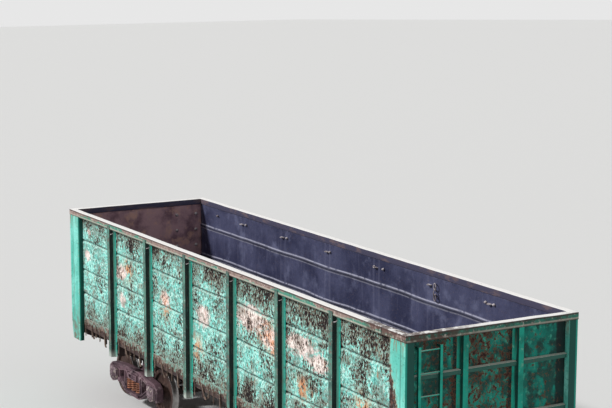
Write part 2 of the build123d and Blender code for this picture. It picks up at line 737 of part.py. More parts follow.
def wheels(x):
    """Pair of solid wheels with flanges on their inner sides."""
    y0 = wheel_inner_y
    y1 = y0 + wheel_width
    profile = [
        (y0, 490), (y0 + 14, flange_radius), (y0 + 36, 482), (y0 + 70, tread_radius), (y1, 468),
        (y1, 398), (y0 + 86, 385), (y0 + 82, 190), (y1 + 32, 150), (y1 + 32, seat_radius),
        (y0 - 24, seat_radius), (y0 - 24, 150), (y0 + 46, 190), (y0 + 50, 385), (y0, 398)]
    return both_sides(Pos(x, 0, tread_radius) * turned(profile))


def axle(x):
    """Axle with wheel seats and journals."""
    half = [
        (676, 83), (690, seat_radius), (884, seat_radius), (904, journal_radius),
        (axle_end_y, journal_radius), (axle_end_y, 0)]
    other = [(-y, radius) for y, radius in reversed(half)]
    return [Pos(x, 0, tread_radius) * turned(other + half)]


def write(node, shapes):
    """Write one sub-part, lifted so that the flanges stand on Z = 0."""
    solids = []
    for shape in shapes:
        solids += (Pos(0, 0, flange_height) * shape).solids()
    export_step(Compound(children=solids), f"parts/{node}.step")
    print(node, len(solids), "solids", round(sum(solid.volume for solid in solids) / 1e6, 1), "litres")


os.makedirs("parts", exist_ok=True)

for make in (centre_sill, body_bolsters, cross_beams, end_beams, hinge_brackets, side_posts,
             corner_posts, side_top_chords, end_top_chords, lower_chords, end_walls,
             end_wall_frames, end_ladders, corner_steps, hatch_latches, lashing_lugs,
             centre_plates, striker_plates, couplers, brake_cylinder, air_reservoir,
             distributor_valve, brake_pipe, brake_rods):
    write(make.__name__, make())

for side_name, side in (("right", -1), ("left", 1)):
    write(f"side_wall_{side_name}", side_wall(side))
    for number, bay in enumerate(hatch_bays, start=1):
        write(f"hatch_{side_name}_{number}", hatch(bay, side))

for end_name, bogie_x in (("far", -pivot_x), ("near", pivot_x)):
    for make in (side_frames, bogie_bolster, spring_nests, axle_boxes, brake_beams):
        write(f"{make.__name__}_{end_name}", make(bogie_x))
    for number, offset_x in ((1, -wheelbase / 2), (2, wheelbase / 2)):
        write(f"wheels_{end_name}_{number}", wheels(bogie_x + offset_x))
        write(f"axle_{end_name}_{number}", axle(bogie_x + offset_x))
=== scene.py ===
"""Open-top rail wagon with drop doors: weathered paint, bent sheets, springs and small iron."""
import json
from math import cos, exp, pi, radians, sin

import bmesh
import bpy
from mathutils import Matrix, Vector, noise

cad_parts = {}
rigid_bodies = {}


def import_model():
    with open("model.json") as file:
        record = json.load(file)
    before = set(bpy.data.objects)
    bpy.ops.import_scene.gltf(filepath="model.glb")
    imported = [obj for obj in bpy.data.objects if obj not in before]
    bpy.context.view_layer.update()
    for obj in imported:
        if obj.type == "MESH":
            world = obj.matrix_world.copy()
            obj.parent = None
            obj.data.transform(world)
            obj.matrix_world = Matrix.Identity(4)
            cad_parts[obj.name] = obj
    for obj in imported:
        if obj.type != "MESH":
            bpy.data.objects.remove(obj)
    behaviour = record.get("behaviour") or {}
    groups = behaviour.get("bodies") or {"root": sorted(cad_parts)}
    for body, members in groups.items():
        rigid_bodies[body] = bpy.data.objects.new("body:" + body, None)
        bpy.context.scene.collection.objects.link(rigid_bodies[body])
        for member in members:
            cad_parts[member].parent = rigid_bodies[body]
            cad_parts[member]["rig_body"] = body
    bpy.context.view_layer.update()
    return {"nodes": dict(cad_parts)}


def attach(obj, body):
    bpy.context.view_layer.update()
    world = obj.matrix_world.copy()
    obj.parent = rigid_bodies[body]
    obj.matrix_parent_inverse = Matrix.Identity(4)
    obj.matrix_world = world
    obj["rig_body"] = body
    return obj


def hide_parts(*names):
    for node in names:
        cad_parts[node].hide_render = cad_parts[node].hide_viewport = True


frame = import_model()
nodes = frame["nodes"]

# Sizes in metres, with heights above the rail head lifted to the frame
LIFT = 0.028
SHEET = 0.007
SHEET_OUTER_Y = 1.446
SHEET_BOTTOM_Z = 1.424 + LIFT
CHORD_BOTTOM_Z = 3.685 + LIFT
LOWER_CHORD_Z = 1.404 + LIFT
RIM_Z = 3.800 + LIFT
END_SHEET_OUTER_X = 6.297
CORNER_FACE_Y = 1.464
CORNER_REACH = 0.081
CORNER_INNER_X = 5.96
CORNER_EDGE_Y = 1.53
CORNER_CREASE_X = (6.244, 6.256)
POST_FOOT_Y = 1.476
RAIL_JOINT_X = (5.742, 5.760)
END_POST_SHADOW_Y = (-0.5, 0.5, 1.39)
GROOVES = (2.075 + LIFT, 2.575 + LIFT, 3.200 + LIFT)
GROOVE_DEPTH = 0.022
GROOVE_HALF = 0.036
GROOVE_FLOOR_HALF = 0.008
BELTS = (2.340 + LIFT, 3.135 + LIFT)
BELT_HALF = 0.048
BELT_FACE_X = 6.347
BAY = 1.73
POSTS_X = tuple(BAY * step for step in (-2.5, -1.5, -0.5, 0.5, 1.5, 2.5))
BOGIES = (("far", -4.325), ("near", 4.325))
WHEELBASE = 1.85
AXLE_Z = 0.475 + LIFT
TREAD_RADIUS = 0.466
TREAD_REACH_Y = 0.8495
JOURNAL_Y = 1.018
BEARING_FACE_Y = JOURNAL_Y + 0.1285
BEARING_BOLT_CIRCLE = 0.092
SPRING_Z = (0.290 + LIFT, 0.545 + LIFT)
SPRINGS_X = (-0.215, 0.0, 0.215)
COILS = ((0.079, 0.0155, 5.0), (0.045, 0.010, 7.0))  # radius, bar and turns, outer and inner


# Camera at the photograph's place

camera_data = bpy.data.cameras.new("camera")
camera_data.lens = 95.72
camera_data.sensor_width = 36.0
camera_data.clip_end = 200.0
camera = bpy.data.objects.new("camera", camera_data)
camera.location = (25.155, -13.899, 9.314)
camera.rotation_euler = (radians(90.0 - 9.121), radians(-0.066), radians(150.267 - 90.0))
bpy.context.scene.collection.objects.link(camera)
bpy.context.scene.camera = camera
bpy.context.scene.view_settings.view_transform = "Standard"


# Floor, sky and lamp

def stage_floor():
    """Pale plain floor that keeps the wagon's shadow."""
    shape = bmesh.new()
    bmesh.ops.create_grid(shape, x_segments=1, y_segments=1, size=150.0)
    mesh = bpy.data.meshes.new("floor")
    shape.to_mesh(mesh)
    shape.free()
    floor = bpy.data.objects.new("floor", mesh)
    bpy.context.scene.collection.objects.link(floor)
    paint = bpy.data.materials.new("floor_paint")
    paint.use_nodes = True
    shader = paint.node_tree.nodes["Principled BSDF"]
    shader.inputs["Base Color"].default_value = (0.80, 0.80, 0.79, 1)
    shader.inputs["Roughness"].default_value = 0.9
    mesh.materials.append(paint)


def stage_sky():
    """Even sky that lights softly and shows white behind the wagon."""
    world = bpy.data.worlds.new("sky")
    world.use_nodes = True
    tree = world.node_tree
    tree.nodes.clear()
    path = tree.nodes.new("ShaderNodeLightPath")
    seen = tree.nodes.new("ShaderNodeMath")
    seen.operation = "MAXIMUM"
    tree.links.new(path.outputs["Is Camera Ray"], seen.inputs[0])
    tree.links.new(path.outputs["Is Glossy Ray"], seen.inputs[1])
    strength = tree.nodes.new("ShaderNodeMapRange")
    strength.inputs["To Min"].default_value = 0.38
    strength.inputs["To Max"].default_value = 0.80
    tree.links.new(seen.outputs[0], strength.inputs["Value"])
    light = tree.nodes.new("ShaderNodeBackground")
    light.inputs["Color"].default_value = (1.0, 1.0, 1.0, 1)
    tree.links.new(strength.outputs[0], light.inputs["Strength"])
    output = tree.nodes.new("ShaderNodeOutputWorld")
    tree.links.new(light.outputs[0], output.inputs["Surface"])
    bpy.context.scene.world = world


def sun(name, towards, strength, angle):
    """Distant lamp that shines along a direction."""
    data = bpy.data.lights.new(name, "SUN")
    data.energy = strength
    data.angle = radians(angle)
    lamp = bpy.data.objects.new(name, data)
    lamp.rotation_euler = Vector(towards).to_track_quat("-Z", "Y").to_euler()
    bpy.context.scene.collection.objects.link(lamp)


stage_floor()
stage_sky()
sun("key_lamp", (0.25, 0.78, -0.58), 2.7, 5.0)


# Building materials from nodes

def colour(red, green, blue):
    """Colour from its display values, 0 to 255, as the shader wants it."""
    def linear(value):
        value /= 255.0
        return value / 12.92 if value <= 0.04045 else ((value + 0.055) / 1.055) ** 2.4
    return (linear(red), linear(green), linear(blue), 1.0)


class Finish:
    """One material, built up in layers from patterns on the piece's own coordinates."""

    def __init__(self, name, base, roughness, metallic=0.0):
        self.material = bpy.data.materials.new(name)
        self.material.use_nodes = True
        self.tree = self.material.node_tree
        self.shader = self.tree.nodes["Principled BSDF"]
        self.shader.inputs["Metallic"].default_value = metallic
        self.shader.inputs["Specular IOR Level"].default_value = 0.5 if metallic else 0.25
        self.place = self.tree.nodes.new("ShaderNodeTexCoord").outputs["Object"]
        self.shown = base
        self.rough = roughness
        self.height = None

    def wire(self, socket, value):
        """Link a socket's source, or write its plain value."""
        if isinstance(value, bpy.types.NodeSocket):
            self.tree.links.new(value, socket)
        else:
            socket.default_value = value

    def maths(self, operation, first, second=0.0):
        """Result of one sum on two sockets or plain values."""
        made = self.tree.nodes.new("ShaderNodeMath")
        made.operation = operation
        self.wire(made.inputs[0], first)
        self.wire(made.inputs[1], second)
        return made.outputs[0]

    def plus(self, first, second):
        return self.maths("ADD", first, second)

    def minus(self, first, second):
        return self.maths("SUBTRACT", first, second)

    def times(self, first, second):
        return self.maths("MULTIPLY", first, second)

    def unsigned(self, value):
        """The value without its sign."""
        return self.maths("ABSOLUTE", value)

    def between(self, value, low, high):
        """Smooth step of a value from 0 at low to 1 at high."""
        made = self.tree.nodes.new("ShaderNodeMapRange")
        made.interpolation_type = "SMOOTHSTEP"
        self.wire(made.inputs["Value"], value)
        made.inputs["From Min"].default_value = low
        made.inputs["From Max"].default_value = high
        return made.outputs["Result"]

    def axis(self, name):
        """One coordinate of the point, in metres."""
        made = self.tree.nodes.new("ShaderNodeSeparateXYZ")
        self.tree.links.new(self.place, made.inputs[0])
        return made.outputs[name]

    def facing(self, name):
        """How far the surface faces along an axis, from -1 to 1."""
        made = self.tree.nodes.new("ShaderNodeSeparateXYZ")
        normal = self.tree.nodes.new("ShaderNodeNewGeometry").outputs["Normal"]
        self.tree.links.new(normal, made.inputs[0])
        return made.outputs[name]

    def attribute(self, name):
        """A value that the piece's points carry."""
        made = self.tree.nodes.new("ShaderNodeAttribute")
        made.attribute_name = name
        return made.outputs["Fac"]

    def noise(self, size, detail=6.0, roughness=0.6, stretch=(1, 1, 1), shift=0.0):
        """Cloudy pattern whose blotches are about size metres across."""
        mapping = self.tree.nodes.new("ShaderNodeMapping")
        mapping.inputs["Scale"].default_value = [1.0 / (size * part) for part in stretch]
        mapping.inputs["Location"].default_value = (shift, 1.7 * shift, 0.6 * shift)
        self.tree.links.new(self.place, mapping.inputs["Vector"])
        made = self.tree.nodes.new("ShaderNodeTexNoise")
        made.inputs["Scale"].default_value = 1.0
        made.inputs["Detail"].default_value = detail
        made.inputs["Roughness"].default_value = roughness
        self.tree.links.new(mapping.outputs[0], made.inputs["Vector"])
        return made.outputs["Fac"]

    def cloud(self, size, low, high, **options):
        """Blotches: the noise from low to high as a mask."""
        return self.between(self.noise(size, **options), low, high)

    def cover(self, mask, layer, strength=1.0):
        """Lay a colour over what is there, where the mask says."""
        made = self.tree.nodes.new("ShaderNodeMix")
        made.data_type = "RGBA"
        self.wire(made.inputs["Factor"], self.times(mask, strength) if strength != 1.0 else mask)
        self.wire(made.inputs["A"], self.shown)
        self.wire(made.inputs["B"], layer)
        self.shown = made.outputs["Result"]
        return self

    def roughen(self, mask, value):
        """Change the roughness where the mask says."""
        made = self.tree.nodes.new("ShaderNodeMix")
        self.wire(made.inputs["Factor"], mask)
        self.wire(made.inputs["A"], self.rough)
        made.inputs["B"].default_value = value
        self.rough = made.outputs["Result"]
        return self

    def raise_by(self, mask, amount):
        """Add height in metres to the bump, where the mask says."""
        lifted = self.times(mask, amount)
        self.height = lifted if self.height is None else self.plus(self.height, lifted)
        return self

    def done(self):
        """Link what was built up to the shader."""
        self.wire(self.shader.inputs["Base Color"], self.shown)
        self.wire(self.shader.inputs["Roughness"], self.rough)
        if self.height is not None:
            bump = self.tree.nodes.new("ShaderNodeBump")
            bump.inputs["Distance"].default_value = 1.0
            self.tree.links.new(self.height, bump.inputs["Height"])
            self.tree.links.new(bump.outputs[0], self.shader.inputs["Normal"])
        return self.material


SOOT = colour(30, 26, 28)
RUST_DARK = colour(60, 42, 40)
RUST = colour(106, 74, 62)
RUST_ORANGE = colour(178, 116, 74)
STAIN = colour(134, 122, 112)


def side_sheet_outside():
    """Turquoise paint, faded in patches, flaking off to rust that gets heavier low down and, partly as
    painted shade, under the rail and beside the posts; painted shadow and highlight lines along the
    grooves.
    """
    made = Finish("side_sheet_paint", colour(136, 224, 212), 0.65)
    made.cover(made.cloud(0.60, 0.42, 0.62, shift=3.0), colour(96, 184, 174), 0.75)
    made.cover(made.cloud(0.045, 0.51, 0.57, shift=7.0, detail=6.0), colour(204, 250, 240), 0.9)
    made.cover(made.cloud(0.30, 0.55, 0.66, shift=27.0, detail=10.0), colour(180, 238, 226), 0.6)
    made.cover(made.cloud(0.05, 0.53, 0.60, shift=17.0, detail=6.0), colour(50, 120, 112), 0.85)
    heavy = made.attribute("rust")
    chips = made.noise(0.10, detail=12.0, roughness=0.82, stretch=(2.2, 2.2, 1), shift=11.0)
    faded = made.plus(made.times(made.attribute("faded"), 0.40), chips)
    made.cover(made.between(faded, 0.60, 0.66), colour(222, 192, 188), 0.85)
    runs = made.noise(0.05, detail=8.0, roughness=0.7, stretch=(1, 1, 3.5), shift=19.0)
    runs = made.plus(runs, made.times(made.attribute("faded"), 0.30))
    made.cover(made.between(runs, 0.63, 0.69), colour(255, 240, 232), 0.95)
    stains = made.noise(0.25, detail=12.0, roughness=0.78, shift=13.0)
    stains = made.plus(stains, made.times(heavy, 0.12))
    made.cover(made.between(stains, 0.50, 0.60), colour(112, 116, 106), 0.65)
    streaks = made.cloud(0.035, 0.55, 0.68, stretch=(1, 1, 7), shift=5.0, detail=6.0)
    made.cover(made.times(streaks, made.cloud(0.5, 0.46, 0.58, shift=9.0)), RUST_ORANGE, 0.8)
    blisters = made.cloud(0.09, 0.44, 0.54, shift=31.0, detail=10.0)
    orange = made.times(made.attribute("orange"), blisters)
    made.cover(orange, colour(226, 142, 84), 0.9)
    specks = made.noise(0.044, detail=8.0, roughness=0.74, shift=1.0, stretch=(0.85, 0.85, 1.3))
    crowds = made.noise(0.40, detail=6.0, roughness=0.6, shift=2.0)
    amount = made.plus(specks, made.times(crowds, 0.45))
    amount = made.plus(amount, made.times(heavy, 0.085))
    made.cover(made.between(amount, 0.75, 0.79), colour(142, 104, 78), 0.8)
    bare = made.between(amount, 0.785, 0.81)
    made.cover(bare, colour(70, 50, 46))
    made.cover(made.between(amount, 0.805, 0.835), colour(20, 16, 18), 0.95)
    # Painted shadow line above each groove's middle, and painted highlight line along its lower slope
    made.cover(made.attribute("crease"), SOOT, 0.95)
    made.cover(made.attribute("ledge"), colour(190, 226, 214), 0.6)
    made.roughen(bare, 0.9)
    made.raise_by(bare, -0.0010).raise_by(made.noise(0.03, detail=4.0), 0.0020)
    made.raise_by(made.noise(0.35, detail=2.0), 0.012)
    return made.done()


def side_sheet_inside():
    """Bare inside of the walls: slate-blue steel, rubbed light on the ridges with a painted highlight
    there, painted shade along the ridge lines, and darker low down as painted shade.
    """
    made = Finish("side_sheet_inside_steel", colour(76, 79, 108), 0.5)
    made.cover(made.cloud(0.9, 0.40, 0.65, shift=3.0), colour(50, 53, 80))
    made.cover(made.cloud(0.35, 0.52, 0.72, shift=6.0, detail=8.0), colour(112, 116, 146), 0.65)
    seams = made.cloud(0.07, 0.54, 0.72, stretch=(1, 1, 14), shift=2.0, detail=4.0)
    made.cover(seams, colour(100, 102, 128), 0.4)
    pits = made.cloud(0.05, 0.54, 0.66, shift=14.0, detail=10.0, roughness=0.8)
    made.cover(pits, colour(40, 42, 64), 0.6)
    made.cover(made.attribute("seam"), colour(112, 114, 140), 0.35)
    made.cover(made.cloud(0.02, 0.60, 0.70, detail=3.0, shift=8.0), colour(140, 116, 104), 0.35)
    # Scuffs and a painted highlight along the edges of the ridges
    rub_and_glint = made.times(made.attribute("rub_and_glint"), made.cloud(0.10, 0.30, 0.50, shift=5.0))
    made.cover(rub_and_glint, colour(196, 196, 214), 0.95)
    # Painted shade along each ridge line
    made.cover(made.attribute("crease"), colour(22, 22, 34), 0.9)
    # Painted shade: darker towards the floor
    made.cover(made.between(made.axis("Z"), 2.15, 1.45), colour(38, 34, 42), 0.75)
    made.raise_by(made.noise(0.04, detail=5.0), 0.0020).raise_by(made.noise(0.5, detail=3.0), 0.026)
    return made.done()


def lower_chord_finish():
    """Bottom rail of the side wall: the last of the paint over rust, with a pale ledge on top."""
    made = Finish("lower_chord_paint", colour(120, 160, 148), 0.7)
    made.cover(made.cloud(0.25, 0.42, 0.60, shift=3.0, detail=8.0), STAIN)
    amount = made.noise(0.07, detail=10.0, roughness=0.76, shift=1.0)
    amount = made.plus(amount, made.times(made.between(made.axis("Z"), 1.60, 1.40), 0.10))
    made.cover(made.between(amount, 0.50, 0.55), RUST, 0.9)
    made.cover(made.between(amount, 0.56, 0.61), RUST_DARK)
    made.cover(made.between(made.facing("Z"), 0.5, 0.9), colour(206, 214, 204), 0.7)
    made.raise_by(made.noise(0.03, detail=5.0), 0.0020)
    return made.done()


def end_sheet_inside():
    """Purplish brown inside of the end walls, darkened low down as painted shade."""
    made = Finish("end_sheet_inside_steel", colour(196, 158, 164), 0.6)
    made.cover(made.cloud(0.45, 0.42, 0.66, shift=1.0), colour(130, 100, 112))
    made.cover(made.cloud(0.20, 0.50, 0.66, shift=4.0, detail=8.0), colour(216, 172, 156), 0.8)
    made.cover(made.cloud(0.05, 0.55, 0.75, stretch=(1, 1, 8), shift=2.0), colour(176, 158, 166), 0.4)
    # Painted shade: darker towards the bottom, as the light falls from above
    made.cover(made.between(made.axis("Z"), 3.0, 2.2), colour(50, 40, 48), 0.5)
    made.raise_by(made.noise(0.04, detail=5.0), 0.0016).raise_by(made.noise(0.4, detail=2.0), 0.014)
    return made.done()


def end_sheet_outside():
    """Deep green paint with large rusted patches, and near-black painted shadow strips beside the posts.
    """
    made = Finish("end_sheet_paint", colour(0, 138, 122), 0.6)
    made.cover(made.cloud(0.4, 0.42, 0.62, shift=2.0), colour(0, 88, 78))
    made.cover(made.cloud(0.10, 0.54, 0.66, shift=5.0, detail=10.0), colour(76, 182, 156), 0.7)
    made.cover(made.cloud(0.30, 0.46, 0.56, shift=41.0, detail=9.0), colour(20, 42, 40), 0.8)
    ragged = made.times(made.noise(0.12, detail=8.0, stretch=(1, 1, 4), shift=15.0), 0.14)
    # Painted shadow: near-black strips beside each end post
    for post in END_POST_SHADOW_Y:
        beside = made.minus(made.plus(made.axis("Y"), ragged), post)
        dark = made.times(made.between(beside, -0.13, -0.09), made.between(beside, 0.10, 0.08))
        made.cover(dark, colour(6, 22, 24), 0.92)
    middle = made.between(made.unsigned(made.axis("Y")), 0.60, 0.40)
    amount = made.noise(0.07, detail=12.0, roughness=0.74, shift=3.0)
    amount = made.plus(amount, made.times(made.noise(0.5, detail=4.0, shift=8.0), 0.4))
    amount = made.plus(amount, made.times(middle, 0.035))
    amount = made.minus(amount, made.times(made.between(made.axis("Y"), 0.4, 0.7), 0.05))
    made.cover(made.between(amount, 0.72, 0.77), colour(142, 100, 66), 0.7)
    bare = made.between(amount, 0.745, 0.78)
    made.cover(bare, colour(84, 52, 42))
    made.cover(made.between(amount, 0.80, 0.85), SOOT, 0.85)
    made.roughen(bare, 0.9)
    made.raise_by(bare, -0.0008).raise_by(made.noise(0.03, detail=4.0), 0.0015)
    return made.done()


def frame_paint(name, base, deep, wear, belts=()):
    """Paint on the end wall's bars: bright faces rubbed pale, dark sides and belts, pale rungs."""
    made = Finish(name, base, 0.5)
    made.cover(made.cloud(0.35, 0.42, 0.66, shift=2.0), deep, 0.7)
    made.cover(made.cloud(0.10, 0.56, 0.70, shift=5.0), wear, 0.55)
    height = made.axis("Z")
    along = made.unsigned(made.axis("X"))
    recessed = made.between(along, BELT_FACE_X + 0.010, BELT_FACE_X + 0.004)
    for belt in belts:
        on_belt = made.times(made.between(height, belt - BELT_HALF - 0.004, belt - BELT_HALF + 0.004),
                             made.between(height, belt + BELT_HALF + 0.004, belt + BELT_HALF - 0.004))
        made.cover(made.times(on_belt, recessed), colour(46, 84, 76), 0.9)
    made.cover(made.between(made.unsigned(made.facing("Y")), 0.75, 0.95), colour(8, 38, 36), 0.9)
    streaks = made.cloud(0.035, 0.58, 0.74, stretch=(1, 1, 10), shift=4.0, detail=4.0)
    made.cover(streaks, colour(126, 92, 70), 0.5)
    spots = made.noise(0.06, detail=9.0, roughness=0.72, shift=8.0)
    spots = made.plus(spots, made.times(made.between(height, 1.9, 1.1), 0.06))
    bare = made.between(spots, 0.62, 0.67)
    made.cover(bare, RUST)
    made.cover(made.between(made.facing("Z"), 0.25, 0.6), colour(206, 208, 198), 0.8)
    made.roughen(bare, 0.9)
    made.raise_by(bare, -0.0006).raise_by(made.noise(0.025, detail=4.0), 0.0010)
    return made.done()


def post_finish():
    """Side posts: dull worn faces, flanks darkened as painted shade, sloped knees lightened as painted
    highlight, and bright turquoise feet along the sheets.
    """
    made = Finish("side_post_paint", colour(88, 136, 122), 0.6)
    made.cover(made.cloud(0.30, 0.40, 0.60, shift=2.0), colour(52, 84, 78), 0.85)
    made.cover(made.cloud(0.06, 0.50, 0.64, shift=5.0, detail=10.0), colour(112, 96, 88), 0.75)
    made.cover(made.cloud(0.05, 0.58, 0.70, shift=15.0, detail=10.0), colour(176, 214, 200), 0.75)
    across = made.unsigned(made.axis("Y"))
    foot = made.between(across, POST_FOOT_Y + 0.006, POST_FOOT_Y - 0.002)
    made.cover(foot, colour(40, 196, 176))
    made.cover(made.times(foot, made.cloud(0.07, 0.54, 0.64, shift=25.0, detail=10.0)),
               colour(52, 84, 76), 0.8)
    # Painted shade: the flanks, which face along the wagon, are painted nearly black, broken up a little
    # by noise
    sideways = made.unsigned(made.facing("X"))
    flank = made.times(made.between(sideways, 0.80, 0.93),
                       made.between(across, POST_FOOT_Y, POST_FOOT_Y + 0.006))
    flank_shade = made.plus(made.noise(0.16, detail=6.0, stretch=(1, 1, 4), shift=3.0), 0.16)
    made.cover(made.times(flank, made.between(flank_shade, 0.42, 0.54)), colour(10, 28, 28), 0.96)
    made.cover(made.times(flank, made.cloud(0.06, 0.54, 0.68, shift=12.0, detail=8.0)),
               colour(58, 46, 44), 0.7)
    # Painted highlight: the sloped knees between face and flank are painted lighter
    knee = made.times(made.between(sideways, 0.20, 0.45), made.between(sideways, 0.90, 0.80))
    made.cover(knee, colour(120, 196, 176), 0.6)
    streaks = made.cloud(0.03, 0.56, 0.72, stretch=(1, 1, 12), shift=4.0, detail=4.0)
    made.cover(streaks, colour(92, 72, 64), 0.6)
    spots = made.noise(0.05, detail=12.0, roughness=0.8, shift=8.0)
    spots = made.plus(spots, made.times(made.between(made.axis("Z"), 1.9, 1.1), 0.08))
    bare = made.between(spots, 0.60, 0.64)
    made.cover(bare, colour(76, 56, 50))
    made.cover(made.between(made.axis("Z"), 1.30, 1.12), colour(206, 212, 204), 0.6)
    made.roughen(bare, 0.9)
    made.raise_by(bare, -0.0006).raise_by(made.noise(0.025, detail=4.0), 0.0012)
    return made.done()


def rim_finish():
    """Top rail: worn pale on top with a painted highlight, pinkish brown and green on its outer face
    between a painted shade band under the top and a painted shadow line at its foot, dark inside.
    """
    made = Finish("rim_worn_paint", colour(150, 128, 120), 0.6)
    lengths = made.noise(1.1, detail=4.0, roughness=0.65, shift=2.0)
    low = made.between(made.axis("Z"), CHORD_BOTTOM_Z + 0.095, CHORD_BOTTOM_Z)
    at_end = made.between(made.unsigned(made.facing("X")), 0.6, 0.9)
    green = made.plus(lengths, made.times(low, 0.16))
    green = made.plus(green, made.times(at_end, 0.12))
    flecks = made.noise(0.09, detail=9.0, roughness=0.75)
    green = made.plus(green, made.times(flecks, 0.25))
    made.cover(made.between(green, 0.68, 0.74), colour(74, 142, 122))
    made.cover(at_end, colour(44, 118, 102), 0.75)
    made.cover(made.times(at_end, made.cloud(0.4, 0.42, 0.62, shift=21.0)), colour(30, 66, 60), 0.8)
    spots = made.cloud(0.07, 0.50, 0.62, shift=6.0, detail=12.0, roughness=0.8)
    made.cover(spots, colour(78, 56, 52), 0.8)
    made.cover(made.cloud(0.05, 0.56, 0.68, shift=9.0, detail=10.0), colour(214, 202, 194), 0.75)
    made.cover(made.between(low, 0.55, 0.75), colour(206, 188, 176), 0.5)
    # Painted shadow: a near-black line along the rail's lower edge
    made.cover(made.between(made.axis("Z"), CHORD_BOTTOM_Z + 0.022, CHORD_BOTTOM_Z + 0.004), SOOT, 0.9)
    # Painted shade: a dark brown band just under the top of the outer face
    made.cover(made.between(made.axis("Z"), RIM_Z - 0.040, RIM_Z - 0.018), colour(62, 46, 46), 0.85)
    inward = made.plus(made.times(made.facing("X"), made.axis("X")),
                       made.times(made.facing("Y"), made.axis("Y")))
    inner = made.between(inward, -0.5, -1.1)
    made.cover(inner, colour(74, 72, 94))
    made.cover(made.times(inner, made.cloud(0.10, 0.50, 0.66, stretch=(3, 3, 1), shift=4.0)),
               colour(118, 100, 102), 0.7)
    # Worn pale top, and also a painted highlight on the faces turned up to the light
    top = made.between(made.facing("Z"), 0.45, 0.8)
    made.cover(top, colour(255, 253, 250))
    scuffs = made.times(top, made.cloud(0.05, 0.60, 0.74, shift=3.0, detail=9.0))
    made.cover(scuffs, colour(160, 136, 122), 0.8)
    right = made.between(made.axis("Y"), 0.0, -1.0)
    torn = made.times(right, made.between(made.axis("X"), 5.1, 5.5))
    made.cover(made.times(torn, made.cloud(0.09, 0.40, 0.54, detail=8.0, shift=12.0)),
               colour(78, 54, 48), 0.85)
    start, end = RAIL_JOINT_X
    joint = made.times(made.between(made.axis("X"), start - 0.007, start),
                       made.between(made.axis("X"), end + 0.008, end))
    made.cover(made.times(right, joint), SOOT, 0.95)
    made.raise_by(made.noise(0.03, detail=5.0), 0.0015)
    return made.done()


def corner_finish():
    """Newer turquoise on the corner posts, lost along the inner edge of the near right one, with painted
    shade on the inner part of their end faces.
    """
    made = Finish("corner_post_paint", colour(92, 190, 174), 0.5)
    made.cover(made.cloud(0.40, 0.42, 0.62, shift=4.0, stretch=(1, 1, 2)), colour(140, 226, 212), 0.85)
    made.cover(made.cloud(0.12, 0.52, 0.66, shift=24.0, detail=8.0), colour(74, 164, 148), 0.6)
    made.cover(made.cloud(0.05, 0.56, 0.68, shift=14.0, detail=10.0), colour(52, 124, 110), 0.7)
    streaks = made.cloud(0.03, 0.56, 0.70, stretch=(1, 1, 12), shift=3.0, detail=4.0)
    made.cover(streaks, colour(128, 122, 100), 0.55)
    along = made.unsigned(made.axis("X"))
    start, end = CORNER_CREASE_X
    crease = made.times(made.between(along, start - 0.008, start), made.between(along, end + 0.010, end))
    made.cover(crease, colour(58, 104, 94), 0.8)
    near_right = made.times(made.between(made.axis("X"), 0.0, 1.0),
                            made.between(made.axis("Y"), 0.0, -1.0))
    near_right = made.plus(made.times(near_right, 0.28), 0.02)
    distance = made.minus(along, CORNER_INNER_X)
    reach = made.times(made.between(made.axis("Z"), 3.62, 2.4), near_right)
    edge = made.minus(reach, distance)
    ragged = made.noise(0.11, detail=12.0, roughness=0.8, stretch=(1, 1, 1.3))
    edge = made.plus(edge, made.times(ragged, 0.46))
    made.cover(made.between(edge, 0.235, 0.265), RUST_ORANGE, 0.65)
    bare = made.between(edge, 0.262, 0.280)
    made.cover(bare, colour(96, 68, 58))
    made.cover(made.times(bare, made.cloud(0.06, 0.42, 0.56, detail=8.0)), SOOT, 0.85)
    made.cover(made.times(bare, made.cloud(0.05, 0.56, 0.66, detail=8.0, shift=6.0)),
               colour(150, 168, 160), 0.7)
    drips = made.times(made.between(made.axis("Z"), 3.40, 3.70),
                       made.cloud(0.05, 0.44, 0.60, stretch=(1, 1, 5), shift=1.0))
    made.cover(drips, colour(142, 102, 74), 0.75)
    worn_foot = made.times(made.between(made.axis("Z"), 2.0, 1.2),
                           made.cloud(0.09, 0.40, 0.58, detail=10.0, stretch=(1, 1, 2), shift=33.0))
    made.cover(worn_foot, colour(118, 96, 82), 0.85)
    end_face = made.between(made.unsigned(made.facing("X")), 0.6, 0.9)
    made.cover(end_face, colour(10, 158, 138), 0.9)
    # Painted shade: the inner part of each end face is darkened, as if recessed
    recess = made.between(made.unsigned(made.axis("Y")), CORNER_EDGE_Y, CORNER_EDGE_Y - 0.018)
    made.cover(made.times(end_face, recess), colour(14, 62, 56), 0.9)
    made.roughen(bare, 0.9)
    made.raise_by(bare, -0.0008).raise_by(made.noise(0.3, detail=2.0), 0.004)
    return made.done()


def steel_finish(name, base, dark, light, roughness=0.7, size=0.12, metallic=0.0):
    """Rusty or grimy steel in three tones, with a grain in its surface."""
    made = Finish(name, base, roughness, metallic)
    made.cover(made.cloud(3.0 * size, 0.40, 0.62, shift=2.0), dark, 0.8)
    made.cover(made.cloud(size, 0.54, 0.70, shift=5.0, detail=8.0), light, 0.7)
    made.cover(made.cloud(0.2 * size, 0.50, 0.72, shift=8.0), dark, 0.5)
    made.roughen(made.cloud(size, 0.45, 0.65, shift=3.0), min(1.0, roughness + 0.15))
    made.raise_by(made.noise(0.2 * size, detail=6.0), 0.0025)
    return made.done()


